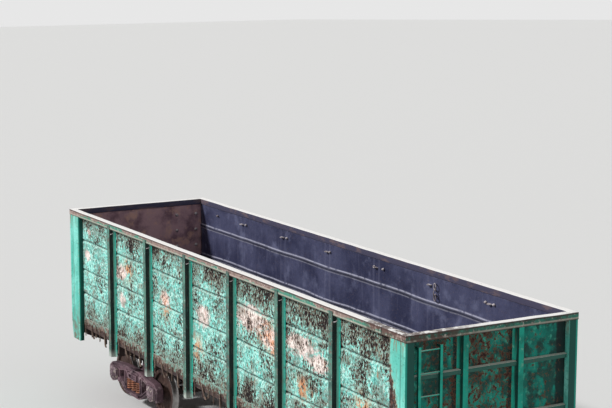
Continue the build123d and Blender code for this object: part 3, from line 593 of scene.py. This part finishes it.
finishes = {
    "side_outside": side_sheet_outside(),
    "side_inside": side_sheet_inside(),
    "end_outside": end_sheet_outside(),
    "end_inside": end_sheet_inside(),
    "post": post_finish(),
    "end_frame": frame_paint("end_frame_paint", colour(20, 164, 142), colour(8, 104, 92),
                             colour(126, 190, 164), BELTS),
    "ladder": frame_paint("end_ladder_paint", colour(30, 176, 154), colour(12, 116, 102),
                          colour(140, 204, 180)),
    "rim": rim_finish(),
    "corner": corner_finish(),
    "lower_chord": lower_chord_finish(),
    "underframe": steel_finish("underframe_grime", colour(58, 46, 44), colour(34, 28, 30),
                               colour(96, 74, 64)),
    "floor_door": steel_finish("floor_door_steel", colour(82, 66, 62), colour(50, 42, 44),
                               colour(120, 104, 96)),
    "cast": steel_finish("bogie_casting", colour(112, 88, 96), colour(60, 46, 54), colour(172, 152, 154)),
    "bearing": steel_finish("bearing_cap", colour(134, 116, 122), colour(74, 58, 66),
                            colour(230, 218, 200), size=0.07),
    "spring": steel_finish("spring_rust", colour(156, 100, 76), colour(94, 60, 50), colour(206, 160, 126),
                           size=0.05),
    "wheel": steel_finish("wheel_rust", colour(78, 58, 52), colour(48, 36, 36), colour(116, 92, 80)),
    "tread": steel_finish("wheel_tread_steel", colour(170, 168, 166), colour(128, 124, 122),
                          colour(206, 204, 200), roughness=0.28, metallic=0.9),
    "axle": steel_finish("axle_grime", colour(66, 54, 50), colour(40, 32, 32), colour(98, 82, 72)),
    "gear": steel_finish("brake_gear_grime", colour(64, 52, 50), colour(38, 32, 34), colour(110, 92, 82)),
    "hook": steel_finish("latch_hook_steel", colour(122, 104, 92), colour(70, 54, 48),
                         colour(186, 170, 152), size=0.06),
    "coupler": steel_finish("coupler_iron", colour(84, 60, 50), colour(48, 36, 34), colour(128, 100, 84)),
    "lug": steel_finish("lashing_eye_steel", colour(206, 198, 200), colour(104, 92, 98),
                        colour(250, 244, 240), size=0.05),
}


# Making pieces

def add_piece(name, shape, body, paints):
    """Object from a bmesh, riding on a body, with its materials."""
    mesh = bpy.data.meshes.new(name)
    shape.to_mesh(mesh)
    shape.free()
    for paint in paints:
        mesh.materials.append(finishes[paint])
    for face in mesh.polygons:
        face.use_smooth = True
    piece = bpy.data.objects.new(name, mesh)
    bpy.context.scene.collection.objects.link(piece)
    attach(piece, body)
    return piece


def merged_copy(node):
    """The CAD node's mesh with its triangles joined into flat faces."""
    shape = bmesh.new()
    shape.from_mesh(nodes[node].data)
    bmesh.ops.remove_doubles(shape, verts=shape.verts, dist=0.00001)
    bmesh.ops.dissolve_limit(shape, angle_limit=radians(0.8), verts=shape.verts, edges=shape.edges)
    return shape


def soften(piece, width, segments=2, angle=32.0):
    """Round the piece's hard edges a little."""
    bevel = piece.modifiers.new("edge_rounding", "BEVEL")
    bevel.width = width
    bevel.segments = segments
    bevel.limit_method = "ANGLE"
    bevel.angle_limit = radians(angle)
    bevel.harden_normals = True


def body_of(node):
    """The moving body that the node belongs to."""
    return nodes[node]["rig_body"]


def rounded_node(node, paint, width=0.003, segments=2):
    """A CAD node shown with softened edges."""
    piece = add_piece(f"{node}_rounded", merged_copy(node), body_of(node), [paint])
    soften(piece, width, segments)
    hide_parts(node)


def painted_node(node, paint):
    """A CAD node shown as it is, with its finish."""
    mesh = nodes[node].data
    for slot in range(len(mesh.materials)):
        mesh.materials[slot] = finishes[paint]
    if not mesh.materials:
        mesh.materials.append(finishes[paint])


def sliced(shape, axis, start, end, step):
    """A long shape cut across every step, so that it can bend."""
    count = int((end - start) / step)
    normal = Vector((axis == 0, axis == 1, axis == 2))
    for index in range(1, count):
        point = normal * (start + index * (end - start) / count)
        geometry = shape.verts[:] + shape.edges[:] + shape.faces[:]
        bmesh.ops.bisect_plane(shape, geom=geometry, plane_co=point, plane_no=normal, dist=0.0001)
    return shape


def face_outwards(shape, outward):
    """Turn an open sheet's faces the same way, towards its outside."""
    bmesh.ops.recalc_face_normals(shape, faces=shape.faces)
    shape.faces.ensure_lookup_table()
    if shape.faces[0].normal.dot(Vector(outward)) < 0:
        bmesh.ops.reverse_faces(shape, faces=shape.faces)


def thicken(piece):
    """Give a sheet its thickness inwards, with its second finish inside and on its edges."""
    wall = piece.modifiers.new("sheet_thickness", "SOLIDIFY")
    wall.thickness = SHEET
    wall.offset = -1.0
    wall.material_offset = 1
    wall.material_offset_rim = 1


# Side walls: pressed sheets, pushed out between the posts and dented by loads

FADED_PATCHES = (
    # along the wagon, height, half width, half height
    (-5.7, 2.95, 0.22, 0.18), (-5.6, 3.45, 0.15, 0.10), (-4.0, 2.90, 0.55, 0.22),
    (-3.9, 2.35, 0.25, 0.20), (-1.9, 2.75, 0.30, 0.25), (-0.3, 2.75, 0.40, 0.30),
    (1.5, 3.08, 0.90, 0.34), (2.2, 2.85, 0.45, 0.30), (3.2, 2.98, 0.75, 0.26), (3.8, 2.80, 0.50, 0.22))
ORANGE_PATCHES = (
    # along the wagon, height
    (2.05, 2.95), (2.30, 2.75), (-0.55, 2.10), (-3.60, 3.00), (-1.90, 2.60), (5.10, 2.45), (3.30, 2.30))


def bay_fraction(x):
    """0 at a post, 1 in the middle of a bay."""
    return 0.5 + 0.5 * cos(2 * pi * x / BAY)


def groove_line(groove, number, x, seed):
    """Height of a groove, which wanders a little along the wall."""
    long_wave = 0.024 * noise.noise((0.55 * x, seed + number, 0.0))
    short_wave = 0.006 * noise.noise((2.1 * x, seed, number))
    return groove + (long_wave + short_wave)


def wall_outward(x, z, seed):
    """How far the side sheet stands out from its flat plane."""
    out = 0.0
    for number, groove in enumerate(GROOVES):
        distance = abs(z - groove_line(groove, number, x, seed))
        if distance < GROOVE_HALF:
            share = min(1.0, (GROOVE_HALF - distance) / (GROOVE_HALF - GROOVE_FLOOR_HALF))
            out -= GROOVE_DEPTH * share * share * (3 - 2 * share)
    height = (z - SHEET_BOTTOM_Z) / (CHORD_BOTTOM_Z - SHEET_BOTTOM_Z)
    belly = max(0.0, min(1.0, 6 * height - 0.5)) * max(0.0, min(1.0, 6 * (1 - height)))
    out += 0.020 * bay_fraction(x) * belly * (1.0 + 0.8 * noise.noise((0.7 * x, 0.8 * z, seed)))
    out += 0.010 * belly * noise.noise((1.9 * x, 2.3 * z, seed + 5))
    return out


def line_beside(x, z, seed, offset, width):
    """1 on a line that runs along each groove at an offset, falling to 0 away from it."""
    return max(exp(-((z - groove_line(groove, number, x, seed) - offset) / width) ** 2)
               for number, groove in enumerate(GROOVES))


def side_sheet(node, side, seed):
    """Dented side sheet, whose points carry where it has faded and rusted (with painted shade under the
    rail and beside the posts), where painted shadow and highlight lines run along its grooves, and where
    it has been rubbed and takes a painted highlight on the inside.
    """
    length = 2 * (END_SHEET_OUTER_X - SHEET)
    shape = bmesh.new()
    bmesh.ops.create_grid(shape, x_segments=290, y_segments=150, size=0.5)
    layers = {name: shape.verts.layers.float.new(name)
              for name in ("faded", "rust", "orange", "rub_and_glint", "crease", "ledge", "seam")}
    for point in shape.verts:
        x = point.co.x * length
        z = SHEET_BOTTOM_Z + (point.co.y + 0.5) * (CHORD_BOTTOM_Z - SHEET_BOTTOM_Z)
        point.co = (x, side * (SHEET_OUTER_Y + wall_outward(x, z, seed)), z)
        point[layers["faded"]] = max(
            (1.0 - abs(x - px) / half_x) * (1.0 - abs(z - pz) / half_z)
            if abs(x - px) < half_x and abs(z - pz) < half_z else 0.0
            for px, pz, half_x, half_z in FADED_PATCHES)
        # Rust weight is higher near the floor and the near end, and higher under the rail and beside the
        # posts, where it is partly painted shade
        top_edge = exp(-((z - CHORD_BOTTOM_Z) / 0.38) ** 2)
        floor_edge = exp(-((z - SHEET_BOTTOM_Z - 0.15) / 0.35) ** 2)
        near_post = max(exp(-((abs(x - post) - 0.10) / 0.07) ** 2) for post in POSTS_X)
        near_end = max(0.0, (x + 1.0) / 7.0)
        point[layers["rust"]] = ((0.65 + 0.5 * near_end) * top_edge + 0.7 * floor_edge
                                 + 0.4 * near_post + 0.25 * near_end)
        point[layers["orange"]] = max(
            exp(-((x - px) / 0.22) ** 2 - ((z - pz) / 0.20) ** 2) for px, pz in ORANGE_PATCHES)
        # crease: painted shadow along each groove's upper slope; ledge: painted highlight along its lower
        # slope
        point[layers["crease"]] = line_beside(x, z, seed, 0.008, 0.013)
        point[layers["ledge"]] = line_beside(x, z, seed, -0.026, 0.008)
        # Lines beside each groove, scuffed and also lit as a painted highlight
        point[layers["rub_and_glint"]] = min(1.0, line_beside(x, z, seed, 0.038, 0.011)
                                   + line_beside(x, z, seed, -0.028, 0.011))
        point[layers["seam"]] = max(exp(-((abs(x - post) - 0.086) / 0.012) ** 2) for post in POSTS_X)
    face_outwards(shape, (0, side, 0))
    piece = add_piece(f"{node}_dented", shape, "carbody", ["side_outside", "side_inside"])
    thicken(piece)
    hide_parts(node)


side_sheet("side_wall_right", -1, 3.0)
side_sheet("side_wall_left", 1, 11.0)


# End walls

def end_sheet(name, end):
    """Dented end sheet, with its inside in another finish."""
    shape = bmesh.new()
    bmesh.ops.create_grid(shape, x_segments=90, y_segments=70, size=0.5)
    for point in shape.verts:
        y = point.co.x * 2 * SHEET_OUTER_Y
        z = SHEET_BOTTOM_Z + (point.co.y + 0.5) * (CHORD_BOTTOM_Z - SHEET_BOTTOM_Z)
        edge = min(1.0, 5 * (1.0 - abs(y) / SHEET_OUTER_Y)) * min(1.0, 5 * (0.5 - abs(point.co.y)))
        dent = 0.010 * edge * noise.noise((1.6 * y, 1.8 * z, 7.0 * end))
        point.co = (end * (END_SHEET_OUTER_X + dent), y, z)
    face_outwards(shape, (end, 0, 0))
    piece = add_piece(f"end_sheet_{name}", shape, "carbody", ["end_outside", "end_inside"])
    thicken(piece)
    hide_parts("end_walls")


end_sheet("near", 1)
end_sheet("far", -1)


# Rails along the rim, bent a little by loading gear

def bent_rail(node, axis, half_length):
    """Top rail with small dents along it, in the place of the straight one."""
    shape = sliced(merged_copy(node), axis, -half_length, half_length, 0.16)
    for point in shape.verts:
        along = point.co[axis]
        side = 1.0 if point.co[1 - axis] > 0 else -1.0
        sag = -0.007 * abs(noise.noise((1.3 * along, 4.0 * side, 1.0)))
        sway = -0.008 * side * abs(noise.noise((0.9 * along, 7.0 * side, 3.0)))
        point.co.z += sag if point.co.z > CHORD_BOTTOM_Z + 0.05 else 0.5 * sag
        point.co[1 - axis] += sway
    piece = add_piece(f"{node}_bent", shape, "carbody", ["rim"])
    soften(piece, 0.004, 2, 28.0)
    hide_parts(node)


bent_rail("side_top_chords", 0, 6.4)
bent_rail("end_top_chords", 1, 1.425)


# Corner posts, their side plates flush with the rail above

def flush_corners():
    """Corner posts whose outer side faces stand out as far as the rail."""
    shape = merged_copy("corner_posts")
    for point in shape.verts:
        if abs(point.co.y) > CORNER_FACE_Y - 0.001:
            point.co.y += CORNER_REACH if point.co.y > 0 else -CORNER_REACH
    piece = add_piece("corner_posts_flush", shape, "carbody", ["corner"])
    soften(piece, 0.004, 2)
    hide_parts("corner_posts")


flush_corners()


# The other pieces, from their CAD shapes

for node, paint, width in (
        ("side_posts", "post", 0.006), ("end_wall_frames", "end_frame", 0.006),
        ("lower_chords", "lower_chord", 0.003), ("end_ladders", "ladder", 0.002),
        ("end_beams", "underframe", 0.003), ("hatch_latches", "hook", 0.004),
        ("lashing_lugs", "lug", 0.003), ("corner_steps", "gear", 0.002),
        ("couplers", "coupler", 0.012), ("striker_plates", "coupler", 0.008)):
    rounded_node(node, paint, width)

for name in ("far", "near"):
    rounded_node(f"side_frames_{name}", "cast", 0.008, 3)
    rounded_node(f"bogie_bolster_{name}", "cast", 0.008, 2)
    rounded_node(f"axle_boxes_{name}", "bearing", 0.006, 2)
    painted_node(f"brake_beams_{name}", "gear")

for node, paint in (("centre_sill", "underframe"), ("body_bolsters", "underframe"),
                    ("cross_beams", "underframe"), ("hinge_brackets", "gear"), ("centre_plates", "cast"),
                    ("brake_cylinder", "gear"), ("air_reservoir", "gear"), ("distributor_valve", "gear"),
                    ("brake_pipe", "gear"), ("brake_rods", "gear")):
    painted_node(node, paint)

for side in ("right", "left"):
    for number in range(1, 8):
        rounded_node(f"hatch_{side}_{number}", "floor_door", 0.003)


# Wheels and axles

def wheel_pair(node, x):
    """Wheels with bright running surfaces."""
    piece = add_piece(f"{node}_turned", merged_copy(node), body_of(node), ["wheel", "tread"])
    for face in piece.data.polygons:
        centre = face.center
        radius = Vector((centre.x - x, centre.z - AXLE_Z)).length
        if radius > TREAD_RADIUS and abs(centre.y) < TREAD_REACH_Y:
            face.material_index = 1
    soften(piece, 0.003, 2, 20.0)
    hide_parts(node)


for name, pivot in BOGIES:
    for number, offset in ((1, -WHEELBASE / 2), (2, WHEELBASE / 2)):
        wheel_pair(f"wheels_{name}_{number}", pivot + offset)
        rounded_node(f"axle_{name}_{number}", "axle", 0.002)


# Springs wound from round bar

def bar_outline(shape, bar, start):
    """Round outline of a bar's end, ready to be spun."""
    points = bmesh.ops.create_circle(shape, segments=8, radius=bar, matrix=start)["verts"]
    return points + list(dict.fromkeys(edge for point in points for edge in point.link_edges))


def coil(shape, centre, radius, bar, turns):
    """One helical spring between the spring seat and the bolster."""
    bottom, top = SPRING_Z
    height = top - bottom - 2 * bar
    start = Matrix.Translation(centre + Vector((radius, 0, bar))) @ Matrix.Rotation(pi / 2, 4, "X")
    steps = int(20 * turns)
    bmesh.ops.spin(shape, geom=bar_outline(shape, bar, start), cent=centre, axis=(0, 0, 1), steps=steps,
                   angle=2 * pi * turns, dvec=(0, 0, height / steps), use_duplicate=False)


def friction_wedges(name):
    """The wedges on the outer springs, cut from the CAD node above its plain springs."""
    node = f"spring_nests_{name}"
    shape = merged_copy(node)
    geometry = shape.verts[:] + shape.edges[:] + shape.faces[:]
    bmesh.ops.bisect_plane(shape, geom=geometry, plane_co=(0, 0, SPRING_Z[1] - 0.006), plane_no=(0, 0, 1),
                           clear_inner=True)
    bmesh.ops.holes_fill(shape, edges=[edge for edge in shape.edges if edge.is_boundary])
    piece = add_piece(f"friction_wedges_{name}", shape, f"bogie_{name}", ["cast"])
    soften(piece, 0.004, 2)
    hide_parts(node)


def spring_group(name, pivot):
    """The bogie's springs: an outer and an inner coil at each place."""
    shape = bmesh.new()
    for side in (-1, 1):
        for offset in SPRINGS_X:
            centre = Vector((pivot + offset, side * JOURNAL_Y, SPRING_Z[0]))
            for radius, bar, turns in COILS:
                coil(shape, centre, radius, bar, turns)
    bmesh.ops.recalc_face_normals(shape, faces=shape.faces)
    piece = add_piece(f"springs_{name}", shape, f"bogie_{name}", ["spring"])
    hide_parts(f"spring_nests_{name}")


for name, pivot in BOGIES:
    spring_group(name, pivot)
    friction_wedges(name)


# Small iron

END_BOLTS_X = END_SHEET_OUTER_X - SHEET - 0.004
END_BOLTS_Y = (0.855, 1.310)
END_BOLTS_Z = (3.51, 3.17, 2.83)
STUDS_X = (-5.45, -4.15, -2.42, -0.75, 0.82, 1.12, 4.21, 4.44)
STUD_Y = 1.425
STUD_Z = 3.565
CHAIN_X = 2.78
CHAIN_Y = 1.404
CHAIN_LINKS = ((3.555, 0.3), (3.445, 1.5), (3.365, 0.3))  # height and turn of each
STAPLE_BESIDE_POST = 0.058
STAPLE_Y = 1.515
STAPLE_Z = 3.60 + LIFT
ROD_TOP_Z = LOWER_CHORD_Z + 0.09
ROD_Y = SHEET_OUTER_Y + 0.021
DOOR_RODS = (
    # along the bay from its middle, depth below the rail, turn of the eye
    (-0.66, 0.16, 0.3), (-0.10, 0.09, 1.2), (0.10, 0.13, 0.6), (0.60, 0.19, 0.2))


def standing(place, outward):
    """Placement at a point, with Z turned outward."""
    turn = Vector(outward).to_track_quat("Z", "Y").to_matrix().to_4x4()
    return Matrix.Translation(Vector(place)) @ turn


def round_head(shape, place, outward, radius, height):
    """Domed bolt or rivet head standing on a surface."""
    matrix = standing(place, outward) @ Matrix.Diagonal((1, 1, height / radius, 1))
    head = bmesh.ops.create_uvsphere(shape, u_segments=12, v_segments=8, radius=radius, matrix=matrix)
    side = Vector(outward).normalized()
    buried = [point for point in head["verts"] if (point.co - Vector(place)).dot(side) < -0.002]
    bmesh.ops.delete(shape, geom=buried, context="VERTS")


def hex_bolt(shape, place, outward, radius, height):
    """Six-sided bolt head with its washer."""
    base = standing(place, outward)
    bmesh.ops.create_cone(shape, cap_ends=True, segments=12, radius1=1.5 * radius, radius2=1.45 * radius,
                          depth=0.3 * height, matrix=base @ Matrix.Translation((0, 0, 0.15 * height)))
    bmesh.ops.create_cone(shape, cap_ends=True, segments=6, radius1=radius, radius2=0.92 * radius,
                          depth=0.8 * height, matrix=base @ Matrix.Translation((0, 0, 0.7 * height)))


def ring(shape, centre, axis, radius, bar):
    """Closed ring of round bar."""
    start = standing(centre, axis) @ Matrix.Translation((radius, 0, 0)) @ Matrix.Rotation(pi / 2, 4, "X")
    bmesh.ops.spin(shape, geom=bar_outline(shape, bar, start), cent=centre, axis=Vector(axis), steps=20,
                   angle=2 * pi, use_merge=True, use_duplicate=False)


def end_wall_bolts():
    """Round heads inside the end walls, where the ladder's rungs are bolted through."""
    shape = bmesh.new()
    for end in (-1, 1):
        for z in END_BOLTS_Z:
            for y in END_BOLTS_Y:
                round_head(shape, (end * END_BOLTS_X, -end * y, z), (-end, 0, 0), 0.036, 0.032)
    add_piece("end_wall_bolts", shape, "carbody", ["lug"])


def lashing_rings():
    """Studs and a short chain inside the walls, and staples on the posts' flanks outside."""
    shape = bmesh.new()
    for side in (-1, 1):
        for height, turn in CHAIN_LINKS:
            ring(shape, (CHAIN_X, side * CHAIN_Y, height), (turn, 1, 0), 0.058, 0.009)
        for x in STUDS_X:
            round_head(shape, (x, side * STUD_Y, STUD_Z), (0, -side, 0), 0.026, 0.034)
        for x in POSTS_X:
            for flank in (-STAPLE_BESIDE_POST, STAPLE_BESIDE_POST):
                ring(shape, (x + flank, side * STAPLE_Y, STAPLE_Z), (0, side * 0.4, 1), 0.030, 0.007)
    add_piece("lashing_rings", shape, "carbody", ["lug"])


def door_rods():
    """Short rods with eyes that hang along the lower rails beside the floor doors."""
    shape = bmesh.new()
    for y in (-ROD_Y, ROD_Y):
        for bay in range(-3, 4):
            for offset, drop, turn in DOOR_RODS:
                x = bay * BAY + offset
                bottom = LOWER_CHORD_Z - drop
                middle = Matrix.Translation((x, y, (ROD_TOP_Z + bottom) / 2))
                bmesh.ops.create_cone(shape, cap_ends=True, segments=10, radius1=0.010, radius2=0.010,
                                      depth=ROD_TOP_Z - bottom, matrix=middle)
                ring(shape, (x, y, bottom - 0.024), (turn, 1, 0), 0.028, 0.008)
    add_piece("door_rods", shape, "carbody", ["hook"])


def bearing_bolts(name, pivot):
    """Bolts round the cover of each axle box."""
    shape = bmesh.new()
    for offset in (-WHEELBASE / 2, WHEELBASE / 2):
        for side in (-1, 1):
            for step in range(8):
                angle = pi * (step + 0.5) / 4
                place = (pivot + offset + BEARING_BOLT_CIRCLE * cos(angle), side * BEARING_FACE_Y,
                         AXLE_Z + BEARING_BOLT_CIRCLE * sin(angle))
                hex_bolt(shape, place, (0, side, 0), 0.013, 0.012)
    add_piece(f"bearing_bolts_{name}", shape, f"bogie_{name}", ["bearing"])


end_wall_bolts()
lashing_rings()
door_rods()
for name, pivot in BOGIES:
    bearing_bolts(name, pivot)
